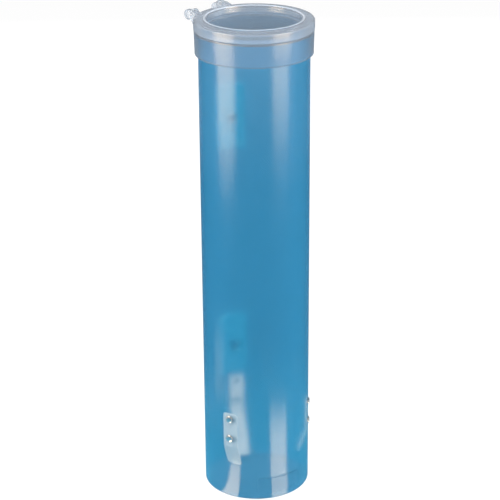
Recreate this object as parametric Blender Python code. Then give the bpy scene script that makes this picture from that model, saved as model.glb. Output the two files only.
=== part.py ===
"""Pull-type cup dispenser: a translucent tube that holds a stack of cups, a flip cap and three sprung fingers.

The cups go in under the flip lid and rest on the fingers, which give way as one is pulled out
below. Metres, +Z up. The wall is on the +Y side and the front faces -Y. The origin lies at the
bottom, in the middle of the footprint of everything, so the tube's axis stands a little in front of it.
"""
import math

import bmesh
import bpy
from mathutils import Matrix, Vector

for old in list(bpy.data.objects):
    bpy.data.objects.remove(old, do_unlink=True)

MM = 0.001

# Clearances
seat_gap = 0.3 * MM            # between pieces that rest on each other
sticker_gap = 0.2 * MM         # under the label
overrun = 1.0 * MM             # how far a cutter runs past the face it opens
weld = 0.001 * MM              # points closer than this are one point

# Smoothness of round forms
round_steps = 72               # around the tube, collar and lid
fastener_steps = 16            # around a rivet, screw or stub
eye_steps = 20                 # around a hinge eye
arc_turn = math.radians(30)    # turn per step in a fillet
strip_turn = math.radians(4)   # turn per step across a curved strip
corner_steps = 4               # in the rounded corner of a strip
dome_steps = 4                 # from the edge of a rivet's head to its middle
hollow_steps = 12              # across the hollow of a wall saddle
edge_break = 0.5 * MM          # a fillet up to this size is a single chamfer

# Tube
tube_radius = 44.45 * MM       # outside
tube_wall = 1.6 * MM
tube_length = 395.8 * MM
tube_edge = 0.35 * MM          # edge break at both ends
tube_bore = tube_radius - tube_wall

# Cap collar, pressed over the top of the tube
collar_height = 19.0 * MM
collar_wall_top = 2.75 * MM
collar_wall_foot = 2.35 * MM
collar_edge = 0.5 * MM
collar_lead_in = 0.6 * MM      # chamfer that starts it on the tube
ledge_thickness = 2.0 * MM     # the inward flange that sits on the tube's end
throat_lip = 1.55 * MM         # how far the flange narrows the bore
rim_width = 1.7 * MM           # upstanding rim that centres the lid
rim_height = 2.0 * MM
rim_edge = 0.5 * MM
collar_bore = tube_radius + seat_gap
collar_radius_top = collar_bore + collar_wall_top
collar_radius_foot = collar_bore + collar_wall_foot
throat_radius = tube_bore - throat_lip
ledge_under = tube_length + seat_gap
collar_top = ledge_under + ledge_thickness
collar_foot = collar_top - collar_height

# Flip lid
lid_overhang = 0.3 * MM        # how far the lid stands out past the collar
lid_wall = 1.6 * MM
lid_height = 8.5 * MM          # skirt's lower edge to the flat of the rim
lid_shoulder = 1.9 * MM        # fillet round the top outer edge
lid_skirt_edge = 0.4 * MM
lid_inner_fillet = 0.9 * MM
bead_inset = 8.6 * MM          # lid's edge in to the middle of the raised bead
bead_width = 1.7 * MM
bead_height = 0.7 * MM
bead_fillet = 0.6 * MM
pan_depth = 6.0 * MM           # how far the middle lies below the rim's flat
pan_draft = 1.2 * MM           # the pan's wall leans in by this much
pan_fillet = 2.4 * MM
lid_radius = collar_radius_top + lid_overhang
bead_radius = lid_radius - bead_inset
lid_foot = collar_top + seat_gap
lid_top = lid_foot + lid_height

# Hinge of the lid: two eyes on the lid snap over stubs on the collar's ears
cap_turn = math.radians(24.5)  # how far the cap is turned from the wall side
hinge_standoff = 2.5 * MM      # lid's edge to the hinge axis
hinge_drop = 1.1 * MM          # rim's flat down to the hinge axis
ear_inset = 11.0 * MM          # middle of the hinge to the near face of an ear
ear_width = 3.9 * MM
ear_radius = 3.2 * MM
ear_root_depth = 10.9 * MM     # height of the ear's root on the collar's side
ear_root_drop = 0.7 * MM       # top of the collar down to the ear's root
ear_shoulder = 4.8 * MM        # height of the ear's upright outer edge below the axis
ear_sunk = 0.5 * MM            # how far the ear's root runs into the collar
stub_radius = 2.0 * MM
stub_length = 4.4 * MM
arm_width = 6.5 * MM
arm_radius = 3.2 * MM          # the arm's round end and its flat top, about the hinge axis
arm_sunk = 0.4 * MM            # how far the arm's tip runs into the flat of the lid's rim
arm_flat = 5.0 * MM            # hinge axis to the end of the arm's flat top
arm_lap = 11.0 * MM            # hinge axis to the arm's tip
eye_radius = 4.2 * MM
eye_width = 4.3 * MM           # the boss at the arm's outer side
eye_edge = 0.8 * MM            # rounded edge of the boss's outer face
hinge_reach = lid_radius + hinge_standoff
hinge_height = lid_top - hinge_drop
arm_inset = ear_inset + ear_width + seat_gap

# Fingers: a flexible strip, riveted flat inside the tube and folded inward below the rivets
finger_width = 13.4 * MM
finger_thickness = 0.8 * MM
finger_corner = 1.6 * MM
root_foot = 46.5 * MM          # height of the fold
root_height = 31.0 * MM
fold_gap = 0.6 * MM            # fold to the start of the blade
back_blade_length = 41.6 * MM
side_blade_length = 19.2 * MM
blade_lean = math.radians(18)
FINGERS = (                    # where each one is riveted, as a turn about the tube's axis from +X, and its blade
    ("back", math.radians(88.5), back_blade_length),
    ("left", math.radians(213), side_blade_length),
    ("right", math.radians(-33), side_blade_length),
)
root_radius = tube_bore - seat_gap
fold_radius = root_radius - finger_thickness / 2

# Rivets
rivet_spacing = 18.2 * MM
rivet_top_margin = 4.2 * MM    # top of the finger down to the upper rivet
rivet_shank_radius = 1.6 * MM
rivet_head_radius = 3.0 * MM
rivet_head_height = 1.0 * MM
rivet_head_edge = 0.35 * MM
rivet_tail_radius = 2.4 * MM
rivet_tail_height = 1.2 * MM
rivet_tail_fillet = 0.7 * MM

# Wall saddles: blocks that fill the space between the round tube and a flat wall
saddle_width = 24.0 * MM
saddle_height = 54.0 * MM
saddle_standoff = 6.5 * MM     # tube to wall
saddle_fillet = 2.0 * MM
saddle_edge = 0.6 * MM
saddle_lift = 2.5 * MM         # top of the fingers up to the foot of the lower saddle
upper_saddle_drop = 85.6 * MM  # top of the tube down to the middle of the upper saddle
screw_shank_radius = 1.6 * MM
screw_bite = 4.2 * MM          # how far the screw runs into the saddle
screw_point = 1.2 * MM
screw_head_radius = 3.5 * MM
screw_head_height = 2.0 * MM
screw_head_fillet = 1.1 * MM
pilot_depth = 4.6 * MM

# Label, a clear sticker low on the front
label_width = 40.3 * MM        # along the tube's surface
label_height = 13.8 * MM
label_foot = 5.8 * MM
label_thickness = 0.2 * MM
label_corner = 1.8 * MM

# The footprint, for the origin
back_reach = (
    (hinge_reach + eye_radius) * math.cos(cap_turn)
    + (arm_inset + arm_width) * math.sin(cap_turn)
)
tube_axis_y = (lid_radius - back_reach) / 2

BACK = math.radians(90)
SADDLES = (
    ("lower", root_foot + root_height + saddle_lift + saddle_height / 2),
    ("upper", tube_length - upper_saddle_drop),
)


def material(name, color, roughness, metallic=0.0, alpha=1.0):
    """A plain surface in the colour of the part."""
    made = bpy.data.materials.new(name)
    made.use_nodes = True
    shader = made.node_tree.nodes["Principled BSDF"]
    shader.inputs["Base Color"].default_value = (*color, 1)
    shader.inputs["Roughness"].default_value = roughness
    shader.inputs["Metallic"].default_value = metallic
    shader.inputs["Alpha"].default_value = alpha
    made.diffuse_color = (*color, alpha)
    return made


BLUE = material("translucent blue plastic", (0.04, 0.24, 0.46), 0.25, alpha=0.75)
FROSTED = material("frosted clear plastic", (0.62, 0.68, 0.74), 0.4, alpha=0.8)
MILKY = material("milky flexible plastic", (0.72, 0.78, 0.82), 0.45)
METAL = material("bright rivet metal", (0.78, 0.78, 0.77), 0.25, metallic=1.0)
CLEAR = material("clear sticker", (0.7, 0.8, 0.88), 0.15, alpha=0.3)
MOULDED = material("pale moulded plastic", (0.6, 0.68, 0.74), 0.5)


def rounded_outline(corners):
    """Corners (x, y, fillet radius) to points, with each fillet drawn as an arc."""
    points = []
    for i, (x, y, radius) in enumerate(corners):
        corner = Vector((x, y))
        if radius <= 0:
            points.append(corner)
            continue
        back = (Vector(corners[i - 1][:2]) - corner).normalized()
        ahead = (Vector(corners[(i + 1) % len(corners)][:2]) - corner).normalized()
        half = back.angle(ahead) / 2
        centre = corner + (back + ahead).normalized() * (radius / math.sin(half))
        spoke = corner + back * (radius / math.tan(half)) - centre
        turn = math.pi - 2 * half
        if back.x * ahead.y - back.y * ahead.x > 0:
            turn = -turn
        steps = 1 if radius <= edge_break else max(2, round(abs(turn) / arc_turn))
        for step in range(steps + 1):
            angle = turn * step / steps
            points.append(centre + Matrix.Rotation(angle, 2) @ spoke)
    return points


def finish(name, bm, surface, parent, smooth_angle=math.radians(35)):
    """Turn a bmesh into a named object with its faces pointing out."""
    bmesh.ops.remove_doubles(bm, verts=bm.verts, dist=weld)
    bmesh.ops.recalc_face_normals(bm, faces=bm.faces)
    mesh = bpy.data.meshes.new(name)
    bm.to_mesh(mesh)
    bm.free()
    mesh.shade_smooth()
    mesh.set_sharp_from_angle(angle=smooth_angle)
    if surface:
        mesh.materials.append(surface)
    made = bpy.data.objects.new(name, mesh)
    bpy.context.scene.collection.objects.link(made)
    made.parent = parent
    return made


def turn_profile(bm, outline, steps, closed):
    """Spin an outline (radius, height) round the Z axis. An open one starts and ends on the axis."""
    ring = [bm.verts.new((radius, 0, height)) for radius, height in outline]
    pairs = list(zip(ring, ring[1:]))
    if closed:
        pairs.append((ring[-1], ring[0]))
    edges = [bm.edges.new(pair) for pair in pairs]
    bmesh.ops.spin(
        bm, geom=ring + edges, cent=(0, 0, 0), axis=(0, 0, 1), angle=math.tau, steps=steps, use_merge=True
    )


def turned(name, outline, steps, surface, parent, closed=True, offset=(0, 0, 0)):
    """A turned piece whose origin is moved to offset."""
    bm = bmesh.new()
    turn_profile(bm, outline, steps, closed)
    bmesh.ops.translate(bm, verts=bm.verts, vec=-Vector(offset))
    return finish(name, bm, surface, parent)


def extrude_outline(bm, outline, to_space, depth):
    """Raise a flat outline into a slab: to_space places each of its points, depth is the way it is raised."""
    face = bm.faces.new([bm.verts.new(to_space(point)) for point in outline])
    raised = bmesh.ops.extrude_face_region(bm, geom=[face])
    tops = [item for item in raised["geom"] if isinstance(item, bmesh.types.BMVert)]
    bmesh.ops.translate(bm, verts=tops, vec=depth)


def curved_strip(bm, centre_x, outer_radius, thickness, width, foot, top, foot_corner, top_corner):
    """A strip bent round an upright axis at centre_x, with rounded corners and its middle towards +X."""
    half = width / 2
    corner = max(foot_corner, top_corner)
    flat_steps = max(4, round((width - 2 * corner) / outer_radius / strip_turn))
    across = [corner - corner * math.cos(math.pi / 2 * k / corner_steps) for k in range(corner_steps + 1)]
    left = [-half + reach for reach in across]
    middle = [-half + corner + (width - 2 * corner) * k / flat_steps for k in range(1, flat_steps)]
    places = left + middle + [-place for place in reversed(left)]

    def rounding(place, radius):
        past = abs(place) - (half - radius)
        if past <= 0:
            return 0
        return radius - math.sqrt(max(0, radius * radius - past * past))

    columns = []
    for place in places:
        angle = place / outer_radius
        low = foot + rounding(place, foot_corner)
        high = top - rounding(place, top_corner)
        column = []
        for radius, height in (
            (outer_radius, low), (outer_radius, high), (outer_radius - thickness, high),
            (outer_radius - thickness, low),
        ):
            column.append(bm.verts.new((centre_x + radius * math.cos(angle), radius * math.sin(angle), height)))
        columns.append(column)
    for one, other in zip(columns, columns[1:]):
        for k in range(4):
            bm.faces.new((one[k], other[k], other[(k + 1) % 4], one[(k + 1) % 4]))
    bm.faces.new(columns[0])
    bm.faces.new(reversed(columns[-1]))


def combine(target, tool, operation):
    """Join or cut target with a hidden tool object."""
    tool.hide_render = True
    tool.display_type = "WIRE"
    step = target.modifiers.new(tool.name, "BOOLEAN")
    step.operation = operation
    step.object = tool


def empty(name, parent=None, location=(0, 0, 0), turn=0):
    made = bpy.data.objects.new(name, None)
    bpy.context.scene.collection.objects.link(made)
    made.parent = parent
    made.location = location
    made.rotation_euler = (0, 0, turn)
    return made


dispenser = empty("dispenser", location=(0, tube_axis_y, 0))
cap = empty("cap", dispenser, turn=BACK + cap_turn)


def radial_cutter(name, azimuth, heights, radius, near, far):
    """Round holes that run out from the tube's axis, one at each height."""
    bm = bmesh.new()
    for height in heights:
        place = Matrix.Translation((0, 0, height)) @ Matrix.Rotation(math.pi / 2, 4, "Y")
        bmesh.ops.create_cone(
            bm, cap_ends=True, segments=fastener_steps, radius1=radius, radius2=radius, depth=far - near,
            matrix=place @ Matrix.Translation((0, 0, (far + near) / 2)),
        )
    cutter = finish(name, bm, None, dispenser)
    cutter.rotation_euler = (0, 0, azimuth)
    return cutter


# Tube
tube = turned(
    "tube",
    rounded_outline([
        (tube_radius, tube_length, tube_edge),
        (tube_radius, 0, tube_edge),
        (tube_bore, 0, tube_edge),
        (tube_bore, tube_length, tube_edge),
    ]),
    round_steps, BLUE, dispenser,
)

# Fingers and their rivets
rivet_top = root_foot + root_height - rivet_top_margin
rivet_heights = (("bottom", rivet_top - rivet_spacing), ("top", rivet_top))
rivet_hole = rivet_shank_radius + seat_gap
rivet_seat = tube_radius + seat_gap
root_inside = root_radius - finger_thickness
tail_seat = math.sqrt(root_inside ** 2 - rivet_tail_radius ** 2) - seat_gap
shank_end = tail_seat - rivet_seat

for side, azimuth, blade_length in FINGERS:
    holes = radial_cutter(
        f"{side} rivet holes", azimuth, [height for _, height in rivet_heights], rivet_hole,
        root_inside - overrun, tube_radius + overrun,
    )
    combine(tube, holes, "DIFFERENCE")

    bm = bmesh.new()
    curved_strip(
        bm, 0, root_radius, finger_thickness, finger_width, root_foot, root_foot + root_height, 0, finger_corner
    )
    root = finish(f"{side}_finger_root", bm, MILKY, dispenser)
    root.rotation_euler = (0, 0, azimuth)
    combine(root, holes, "DIFFERENCE")

    bm = bmesh.new()
    curved_strip(
        bm, -fold_radius, root_radius, finger_thickness, finger_width, -fold_gap - blade_length, -fold_gap,
        finger_corner, 0,
    )
    blade = finish(f"{side}_finger_blade", bm, MILKY, dispenser)
    blade.location = (fold_radius * math.cos(azimuth), fold_radius * math.sin(azimuth), root_foot)
    blade.rotation_euler = (0, blade_lean, azimuth)

    for place, height in rivet_heights:
        dome = [
            (
                rivet_head_radius * math.sin(math.pi / 2 * k / dome_steps),
                rivet_head_edge + (rivet_head_height - rivet_head_edge) * math.cos(math.pi / 2 * k / dome_steps),
            )
            for k in range(dome_steps + 1)
        ]
        tail = rounded_outline([
            (rivet_shank_radius, shank_end, 0),
            (rivet_tail_radius, shank_end, 0),
            (rivet_tail_radius, shank_end - rivet_tail_height, rivet_tail_fillet),
            (0, shank_end - rivet_tail_height, 0),
        ])
        rivet = turned(
            f"{side}_finger_rivet_{place}",
            dome + [(rivet_head_radius, 0), (rivet_shank_radius, 0)] + [tuple(point) for point in tail],
            fastener_steps, METAL, dispenser, closed=False,
        )
        rivet.location = (rivet_seat * math.cos(azimuth), rivet_seat * math.sin(azimuth), height)
        rivet.rotation_euler = (0, math.pi / 2, azimuth)

# Wall saddles and the screws that hold them from inside the tube
saddle_front = tube_radius + seat_gap
saddle_back = tube_radius + saddle_standoff
screw_seat = math.sqrt(tube_bore ** 2 - screw_head_radius ** 2) - seat_gap
screw_length = saddle_front + screw_bite - screw_seat
screw_holes = radial_cutter(
    "saddle screw holes", BACK, [height for _, height in SADDLES], screw_shank_radius + seat_gap,
    screw_seat - overrun, saddle_front + pilot_depth,
)
combine(tube, screw_holes, "DIFFERENCE")

for level, height in SADDLES:
    half = saddle_width / 2
    swing = math.asin(half / saddle_front)
    hollow = [
        (
            saddle_front * math.sin(swing - 2 * swing * k / hollow_steps),
            saddle_front * math.cos(swing - 2 * swing * k / hollow_steps),
        )
        for k in range(1, hollow_steps)
    ]
    outline = rounded_outline(
        [(half, saddle_front * math.cos(swing), 0)]
        + [(x, y, 0) for x, y in hollow]
        + [
            (-half, saddle_front * math.cos(swing), 0),
            (-half, saddle_back, saddle_fillet),
            (half, saddle_back, saddle_fillet),
        ]
    )
    bm = bmesh.new()
    extrude_outline(
        bm, outline, lambda point: (point.x, point.y, -saddle_height / 2), (0, 0, saddle_height)
    )
    saddle = finish(f"{level}_wall_saddle", bm, MOULDED, dispenser)
    saddle.location = (0, 0, height)
    edges = saddle.modifiers.new("edges", "BEVEL")
    edges.width = saddle_edge
    edges.segments = 2
    edges.limit_method = "ANGLE"
    edges.angle_limit = math.radians(50)
    combine(saddle, screw_holes, "DIFFERENCE")

    screw = turned(
        f"{level}_saddle_screw",
        rounded_outline([
            (0, screw_head_height, 0),
            (screw_head_radius, screw_head_height, screw_head_fillet),
            (screw_head_radius, 0, 0),
            (screw_shank_radius, 0, 0),
            (screw_shank_radius, screw_point - screw_length, 0),
            (0, -screw_length, 0),
        ]),
        fastener_steps, METAL, dispenser, closed=False,
    )
    screw.location = (0, screw_seat, height)
    screw.rotation_euler = (0, -math.pi / 2, BACK)

# Label
bm = bmesh.new()
curved_strip(
    bm, 0, tube_radius + sticker_gap + label_thickness, label_thickness, label_width, label_foot,
    label_foot + label_height, label_corner, label_corner,
)
label = finish("front_label", bm, CLEAR, dispenser)
label.rotation_euler = (0, 0, -BACK)

# Cap collar
collar = turned(
    "cap_collar",
    rounded_outline([
        (throat_radius + rim_width, collar_top, 0),
        (collar_radius_top, collar_top, collar_edge),
        (collar_radius_foot, collar_foot, collar_edge),
        (collar_bore + collar_lead_in, collar_foot, 0),
        (collar_bore, collar_foot + collar_lead_in, 0),
        (collar_bore, ledge_under, 0),
        (throat_radius, ledge_under, rim_edge),
        (throat_radius, collar_top + rim_height, rim_edge),
        (throat_radius + rim_width, collar_top + rim_height, rim_edge),
    ]),
    round_steps, FROSTED, cap,
)

# The ears that stand up behind the lid, with the stubs that the lid's eyes turn on
ear_root_top = collar_top - ear_root_drop
ear_root_foot = ear_root_top - ear_root_depth
ear_base = math.sqrt(collar_radius_foot ** 2 - (ear_inset + ear_width) ** 2) - ear_sunk
for side in (-1, 1):
    near = side * ear_inset
    eye_top = [
        (
            hinge_reach - ear_radius * math.cos(math.pi * k / (eye_steps // 2)),
            hinge_height + ear_radius * math.sin(math.pi * k / (eye_steps // 2)),
        )
        for k in range(eye_steps // 2 + 1)
    ]
    outline = [
        Vector(point)
        for point in [(ear_base, ear_root_foot), (ear_base, ear_root_top), (hinge_reach - ear_radius, ear_root_top)]
        + eye_top
        + [(hinge_reach + ear_radius, hinge_height - ear_shoulder)]
    ]
    bm = bmesh.new()
    extrude_outline(bm, outline, lambda point: (point.x, near, point.y), (0, side * ear_width, 0))
    ear = finish(f"ear {side}", bm, None, cap)
    combine(collar, ear, "UNION")

    bm = bmesh.new()
    stub_start = ear_inset + ear_width / 2
    stub_end = ear_inset + ear_width + stub_length
    bmesh.ops.create_cone(
        bm, cap_ends=True, segments=fastener_steps, radius1=stub_radius, radius2=stub_radius,
        depth=stub_end - stub_start,
        matrix=Matrix.Translation((hinge_reach, side * (stub_start + stub_end) / 2, hinge_height))
        @ Matrix.Rotation(math.pi / 2, 4, "X"),
    )
    stub = finish(f"stub {side}", bm, None, cap)
    combine(collar, stub, "UNION")

# Flip lid, turned round the tube's axis with its origin on the hinge
pan_wall_foot = bead_radius - bead_width / 2 - pan_draft
under_bead = bead_radius + bead_width / 2
pan_floor = lid_top - pan_depth
hinge_point = (hinge_reach, 0, hinge_height)
lid = turned(
    "flip_lid",
    rounded_outline([
        (0, pan_floor, 0),
        (pan_wall_foot, pan_floor, pan_fillet),
        (bead_radius - bead_width / 2, lid_top + bead_height, bead_fillet),
        (bead_radius + bead_width / 2, lid_top + bead_height, bead_fillet),
        (bead_radius + bead_width / 2 + bead_height / 2, lid_top, bead_height / 2),
        (lid_radius, lid_top, lid_shoulder),
        (lid_radius, lid_foot, lid_skirt_edge),
        (lid_radius - lid_wall, lid_foot, lid_skirt_edge),
        (lid_radius - lid_wall, lid_top - lid_wall, lid_inner_fillet),
        (under_bead, lid_top - lid_wall, lid_inner_fillet),
        (under_bead - pan_draft, pan_floor - lid_wall, pan_fillet),
        (0, pan_floor - lid_wall, 0),
    ]),
    round_steps, FROSTED, cap, closed=False, offset=hinge_point,
)
lid.location = hinge_point

# The lid's arms lap over its rim and end in closed eyes, bored from the inner side
arm_root = math.sqrt(lid_radius ** 2 - (arm_inset + arm_width) ** 2) - lid_wall / 2
arm_tip = hinge_drop - arm_sunk
arm_end = [
    Vector((
        arm_radius * math.sin(math.pi * k / (eye_steps // 2)),
        arm_radius * math.cos(math.pi * k / (eye_steps // 2)),
    ))
    for k in range(eye_steps // 2 + 1)
]
for side in (-1, 1):
    bm = bmesh.new()
    near = side * arm_inset
    extrude_outline(
        bm,
        [Vector((-arm_lap, arm_tip)), Vector((-arm_flat, arm_radius))]
        + arm_end
        + [Vector((arm_root - hinge_reach, -arm_radius)), Vector((arm_root - hinge_reach, arm_tip))],
        lambda point: (point.x, near, point.y), (0, side * arm_width, 0),
    )
    arm = finish(f"arm {side}", bm, None, lid)
    combine(lid, arm, "UNION")

    eye = turned(
        f"eye {side}",
        rounded_outline([
            (0, eye_width, 0),
            (eye_radius, eye_width, eye_edge),
            (eye_radius, 0, 0),
            (0, 0, 0),
        ]),
        eye_steps, None, lid, closed=False,
    )
    eye.location = (0, near + side * (arm_width - eye_width), 0)
    eye.rotation_euler = (-side * math.pi / 2, 0, 0)
    combine(lid, eye, "UNION")

    bm = bmesh.new()
    bmesh.ops.create_cone(
        bm, cap_ends=True, segments=fastener_steps, radius1=stub_radius + seat_gap,
        radius2=stub_radius + seat_gap, depth=stub_length + overrun,
        matrix=Matrix.Translation((0, side * (arm_inset + (stub_length - overrun) / 2), 0))
        @ Matrix.Rotation(math.pi / 2, 4, "X"),
    )
    bore = finish(f"stub bore {side}", bm, None, lid)
    combine(lid, bore, "DIFFERENCE")
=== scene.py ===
import math

import bmesh
import bpy
from mathutils import Matrix, Vector


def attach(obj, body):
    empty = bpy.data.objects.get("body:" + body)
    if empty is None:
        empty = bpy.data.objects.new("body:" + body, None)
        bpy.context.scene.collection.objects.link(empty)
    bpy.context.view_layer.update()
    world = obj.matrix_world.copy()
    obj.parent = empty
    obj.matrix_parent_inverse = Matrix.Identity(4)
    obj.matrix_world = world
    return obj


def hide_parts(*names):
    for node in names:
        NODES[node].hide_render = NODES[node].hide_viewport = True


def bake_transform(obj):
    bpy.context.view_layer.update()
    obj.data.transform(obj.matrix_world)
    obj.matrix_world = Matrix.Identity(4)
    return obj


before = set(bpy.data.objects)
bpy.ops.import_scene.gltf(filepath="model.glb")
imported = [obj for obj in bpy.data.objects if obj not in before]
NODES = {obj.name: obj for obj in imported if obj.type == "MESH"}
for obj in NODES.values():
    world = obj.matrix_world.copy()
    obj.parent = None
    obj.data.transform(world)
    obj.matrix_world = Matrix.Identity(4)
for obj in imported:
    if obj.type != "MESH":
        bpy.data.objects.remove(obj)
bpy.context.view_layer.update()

MM = 0.001

# Sizes, from the part's source
GAP = 0.3 * MM                       # between pieces that touch on the real object
TUBE_RADIUS = 44.45 * MM
TUBE_WALL = 1.6 * MM
TUBE_LENGTH = 395.8 * MM
TUBE_EDGE = 0.35 * MM
TUBE_BORE = TUBE_RADIUS - TUBE_WALL
AXIS_Y = -5.396 * MM                 # the tube's axis stands in front of the frame's origin

COLLAR_TOP = 398.1 * MM
COLLAR_FOOT = 379.1 * MM
COLLAR_BORE = TUBE_RADIUS + GAP
COLLAR_RADIUS_TOP = 47.5 * MM
COLLAR_RADIUS_FOOT = 47.1 * MM
COLLAR_EDGE = 0.5 * MM
COLLAR_LEAD_IN = 0.6 * MM
COLLAR_LEAD_IN_EDGE = 0.15 * MM
COLLAR_RIM_FILLET = 0.3 * MM         # where the rim stands on the collar's top
LEDGE_FILLET = 0.1 * MM
LEDGE_UNDER = 396.1 * MM
THROAT_RADIUS = 41.3 * MM
RIM_WIDTH = 1.7 * MM
RIM_HEIGHT = 2.0 * MM

LID_RADIUS = 47.8 * MM
LID_FOOT = 398.4 * MM
LID_TOP = 406.9 * MM
LID_WALL = 1.6 * MM
LID_SHOULDER = 1.9 * MM
LID_SKIRT_EDGE = 0.4 * MM
LID_INNER_FILLET = 0.9 * MM
BEAD_RADIUS = 39.2 * MM
BEAD_WIDTH = 1.7 * MM
BEAD_HEIGHT = 0.7 * MM
BEAD_FILLET = 0.6 * MM
PAN_DEPTH = 6.0 * MM
PAN_DRAFT = 1.2 * MM
PAN_FILLET = 2.4 * MM

CAP_TURN = 24.5                      # degrees from the wall side
HINGE_REACH = 50.3 * MM
HINGE_HEIGHT = 405.8 * MM
EAR_INSET = 11.0 * MM
EAR_WIDTH = 3.9 * MM
EAR_RADIUS = 3.2 * MM
EAR_SUNK = 0.5 * MM
EAR_ROOT_TOP = 397.4 * MM
EAR_ROOT_FOOT = 386.5 * MM
EAR_SHOULDER = 4.8 * MM
STUB_RADIUS = 2.0 * MM
STUB_LENGTH = 4.4 * MM
ARM_INSET = 15.2 * MM
ARM_WIDTH = 6.5 * MM
ARM_RADIUS = 3.2 * MM
ARM_TIP = 0.7 * MM
ARM_FLAT = 5.0 * MM
ARM_FLAT_FILLET = 3.0 * MM
ARM_LAP = 11.0 * MM
ARM_BEHIND_EYE = 0.5 * MM            # how much narrower the arm is than its eye's outer face
EYE_RADIUS = 4.2 * MM
EYE_WIDTH = 4.3 * MM
EYE_CROWN = 1.4 * MM                 # fillet of its outer face
EYE_EDGE = 0.5 * MM                  # and of its inner one

FOLD_HEIGHT = 46.5 * MM
FOLD_SOFTNESS = 0.9 * MM             # half the height over which a strip bends
ROOT_HEIGHT = 31.0 * MM
STRIP_WIDTH = 13.4 * MM
STRIP_THICKNESS = 0.8 * MM
STRIP_CORNER = 1.6 * MM
STRIP_LEAN = math.radians(18)
STRIP_RADIUS = TUBE_BORE - GAP
# each finger's direction from the axis in degrees, and its length below the fold
FINGERS = {"back": (88.5, 42.2 * MM), "left": (213.0, 19.8 * MM), "right": (-33.0, 19.8 * MM)}

RIVET_HEIGHTS = {"bottom": 55.1 * MM, "top": 73.3 * MM}
RIVET_HEAD = 3.0 * MM
RIVET_HEAD_RISE = 1.0 * MM
RIVET_HEAD_EDGE = 0.35 * MM
RIVET_BREAK = 0.05 * MM              # tiny bevel under the head
RIVET_TAIL = 2.4 * MM
RIVET_TAIL_RISE = 1.2 * MM
RIVET_TAIL_EDGE = 0.15 * MM
RIVET_TAIL_ROLL = 0.6 * MM           # fillet of the rolled end
RIVET_MOUTH = 1.1 * MM               # radius of the hollow at the rolled end, and at its floor
RIVET_MOUTH_FILLET = 0.35 * MM
RIVET_FLOOR = 0.8 * MM
RIVET_FLOOR_FILLET = 0.15 * MM
RIVET_FLOOR_DEPTH = 0.2 * MM         # how far from the tail's seat the hollow's floor is
SHANK_RADIUS = 1.6 * MM

SADDLE_HEIGHTS = {"lower": 107.0 * MM, "upper": 310.2 * MM}
SCREW_HEAD = 3.5 * MM
SCREW_HEAD_RISE = 2.0 * MM
SCREW_CROWN = 1.1 * MM               # fillet of the head
SCREW_EDGE = 0.1 * MM
SCREW_POINT = 1.2 * MM               # length of the pointed end
SCREW_BITE = 4.2 * MM                # how deep a screw runs into its saddle
CROSS = (0.8 * MM, 3.8 * MM, 2.0 * MM)

HOLE_RADIUS = 1.9 * MM
TUBE_CUT = (40 * MM, 47 * MM)        # a cutter's start and end, as distances from the axis
STRIP_CUT = (38 * MM, 47 * MM)

LABEL_WIDTH = 40.3 * MM
LABEL_FOOT = 5.8 * MM
LABEL_HEIGHT = 13.8 * MM
LABEL_CORNER = 1.8 * MM
LABEL_THICKNESS = 0.2 * MM
LABEL_RADIUS = TUBE_RADIUS + 0.4 * MM

# Smoothness
TUBE_STEPS = 224
CAP_STEPS = 192
SMALL_STEPS = 48                     # round an eye or a screw
RIVET_STEPS = 40
ROD_STEPS = 32
HALF_TURN_STEPS = 24                 # round the end of an ear or an arm
DOME_STEPS = 14                      # from the middle of a rivet's head to its edge
CORNER_STEPS = 8                     # across a sheet's rounded corner
STRIP_STEPS = 14                     # across a strip, between its corners
LABEL_STEPS = 24
FLAT_ROWS = 10                       # along each flat stretch of a strip
FOLD_ROWS = 8                        # along its fold
SHARP_ANGLE = 38                     # degrees
SHEET_SHARP_ANGLE = 50


# Mesh helpers
def arcs(corners, step=math.radians(9)):
    """Corners (x, y, fillet radius) to points, each fillet drawn as an arc."""
    points = []
    for i, (x, y, radius) in enumerate(corners):
        corner = Vector((x, y))
        if radius <= 0:
            points.append(corner)
            continue
        back = (Vector(corners[i - 1][:2]) - corner).normalized()
        ahead = (Vector(corners[(i + 1) % len(corners)][:2]) - corner).normalized()
        half = back.angle(ahead) / 2
        centre = corner + (back + ahead).normalized() * (radius / math.sin(half))
        spoke = corner + back * (radius / math.tan(half)) - centre
        turn = math.pi - 2 * half
        if back.x * ahead.y - back.y * ahead.x > 0:
            turn = -turn
        steps = max(3, round(abs(turn) / step))
        for k in range(steps + 1):
            points.append(centre + Matrix.Rotation(turn * k / steps, 2) @ spoke)
    return points


def put(name, bm, place=Matrix.Identity(4), angle=SHARP_ANGLE):
    """A bmesh to a named object whose place is in its mesh."""
    bmesh.ops.remove_doubles(bm, verts=bm.verts, dist=1e-6)
    bmesh.ops.recalc_face_normals(bm, faces=bm.faces)
    bm.transform(place)
    mesh = bpy.data.meshes.new(name)
    bm.to_mesh(mesh)
    bm.free()
    mesh.shade_smooth()
    mesh.set_sharp_from_angle(angle=math.radians(angle))
    made = bpy.data.objects.new(name, mesh)
    bpy.context.scene.collection.objects.link(made)
    return made


def lathe(outline, steps, closed=True):
    """Spin (radius, height) points round +Z. An open outline starts and ends on the axis."""
    bm = bmesh.new()
    rings = []
    for radius, height in outline:
        if radius < 1e-7:
            rings.append([bm.verts.new((0, 0, height))] * steps)
            continue
        ring = []
        for k in range(steps):
            angle = math.tau * k / steps
            ring.append(bm.verts.new((radius * math.cos(angle), radius * math.sin(angle), height)))
        rings.append(ring)
    pairs = list(zip(rings, rings[1:]))
    if closed:
        pairs.append((rings[-1], rings[0]))
    for one, other in pairs:
        for k in range(steps):
            face = [one[k], one[(k + 1) % steps], other[(k + 1) % steps], other[k]]
            face = [v for i, v in enumerate(face) if v not in face[:i]]
            if len(face) > 2:
                bm.faces.new(face)
    return bm


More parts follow.
